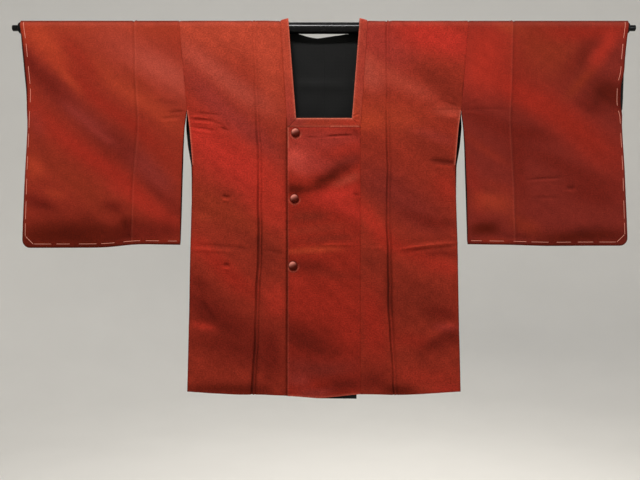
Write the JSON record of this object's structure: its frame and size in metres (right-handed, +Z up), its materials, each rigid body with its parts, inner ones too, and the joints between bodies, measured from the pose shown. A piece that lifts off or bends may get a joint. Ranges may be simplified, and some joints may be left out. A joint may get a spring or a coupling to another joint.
{
  "type": "michiyuki coat hung on a rod",
  "caption": "Hip-length kimono overcoat with a square neck, wide square sleeves and a buttoned overlap, hung flat over a round rod.",
  "frame": {"origin": "on the rod's axis, halfway along it, where the coat's centre hangs", "axes": "+X along the rod towards the wearer's left, +Y towards the coat's back, +Z up; the front faces -Y"},
  "size_m": [1.342, 0.0426, 0.8164],
  "materials": {
    "dyed_silk": "matt crepe silk, dyed red, orange and dark brown in soft slanting bands",
    "black_lining": "plain black silk lining",
    "button_silk": "dyed silk drawn over a domed form",
    "rod_paint": "semi-gloss black paint on steel tube"
  },
  "bodies": {
    "root": {"rod": "rod_paint", "body_right": "dyed_silk", "body_left": "dyed_silk", "underlap": "dyed_silk", "overlap": "dyed_silk", "collar_neck": "dyed_silk", "collar_overlap": "dyed_silk", "collar_underlap": "dyed_silk", "sleeve_right": "dyed_silk", "sleeve_left": "dyed_silk", "gusset_right": "dyed_silk", "gusset_left": "dyed_silk", "lining_right": "black_lining", "lining_left": "black_lining", "lining_underlap": "black_lining", "lining_sleeve_right": "black_lining", "lining_sleeve_left": "black_lining", "button_1": "button_silk", "button_2": "button_silk", "button_3": "button_silk"}
  },
  "joints": []
}
